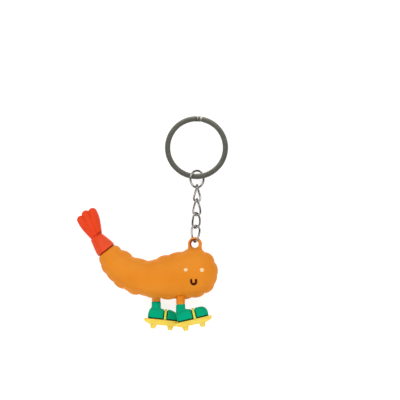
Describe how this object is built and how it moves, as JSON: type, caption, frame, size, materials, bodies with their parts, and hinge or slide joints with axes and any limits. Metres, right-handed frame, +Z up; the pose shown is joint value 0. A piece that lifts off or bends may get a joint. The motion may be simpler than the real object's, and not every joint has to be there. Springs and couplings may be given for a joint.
{
  "type": "keychain",
  "caption": "Key ring with a soft vinyl prawn figure in studded boots, hung on a short twisted chain with a jump ring and a flat split ring.",
  "frame": {"origin": "on the flat of the figure's back, under the middle of the torso", "axes": "+X from tail to head, +Y from the boots to the split ring, +Z up out of the figure's face as it lies on its back"},
  "size_m": [0.0717, 0.1021, 0.0146],
  "materials": {
    "orange_vinyl": "soft moulded vinyl, satin",
    "red_vinyl": "soft moulded vinyl, satin",
    "cream_enamel": "filled dot, satin",
    "brown_enamel": "filled line, satin",
    "green_vinyl": "soft moulded vinyl, satin",
    "yellow_trim": "filled stripe, satin",
    "yellow_vinyl": "soft moulded vinyl, satin",
    "nickel_wire": "bright nickel plate",
    "ring_steel": "nickel-plated spring steel"
  },
  "bodies": {
    "figure": {"torso": "orange_vinyl", "tail": "red_vinyl", "eye_left": "cream_enamel", "eye_right": "cream_enamel", "mouth": "brown_enamel", "rear_leg": "orange_vinyl", "front_leg": "orange_vinyl", "rear_boot": "green_vinyl", "front_boot": "green_vinyl", "rear_strap": "yellow_trim", "front_strap": "yellow_trim", "rear_sole": "yellow_vinyl", "front_sole": "yellow_vinyl"},
    "end_link": {"chain_link_1": "nickel_wire"},
    "second_link": {"chain_link_2": "nickel_wire"},
    "third_link": {"chain_link_3": "nickel_wire"},
    "top_link": {"chain_link_4": "nickel_wire"},
    "jump_ring": {"jump_ring": "nickel_wire"},
    "split_ring": {"split_ring": "ring_steel"}
  },
  "joints": [
    {"name": "link_1_swing", "type": "hinge", "parent": "figure", "child": "end_link", "pos_m": [0.0176, 0.01528, 0.007], "axis": [0, 0, 1], "range_deg": [-25, 50]},
    {"name": "link_2_tip", "type": "hinge", "parent": "end_link", "child": "second_link", "pos_m": [0.01802, 0.02198, 0.0066], "axis": [0.784, 0.2299, 0.5766], "range_deg": [-10, 14]},
    {"name": "link_3_swing", "type": "hinge", "parent": "second_link", "child": "third_link", "pos_m": [0.01851, 0.02901, 0.00313], "axis": [0.4721, -0.4167, -0.7769], "range_deg": [-20, 38]},
    {"name": "link_4_tip", "type": "hinge", "parent": "third_link", "child": "top_link", "pos_m": [0.01859, 0.0345, 0.00219], "axis": [0.9976, 0.0077, -0.0693], "range_deg": [-60, 40]},
    {"name": "jump_ring_swing", "type": "hinge", "parent": "top_link", "child": "jump_ring", "pos_m": [0.01859, 0.0423, 0.00306], "axis": [-0.2419, 0.1072, -0.9644], "range_deg": [-20, 24]},
    {"name": "split_ring_turn", "type": "hinge", "parent": "jump_ring", "child": "split_ring", "pos_m": [0.01835, 0.06012, 0.0021], "axis": [0, 0.0699, 0.9976], "continuous": true}
  ]
}
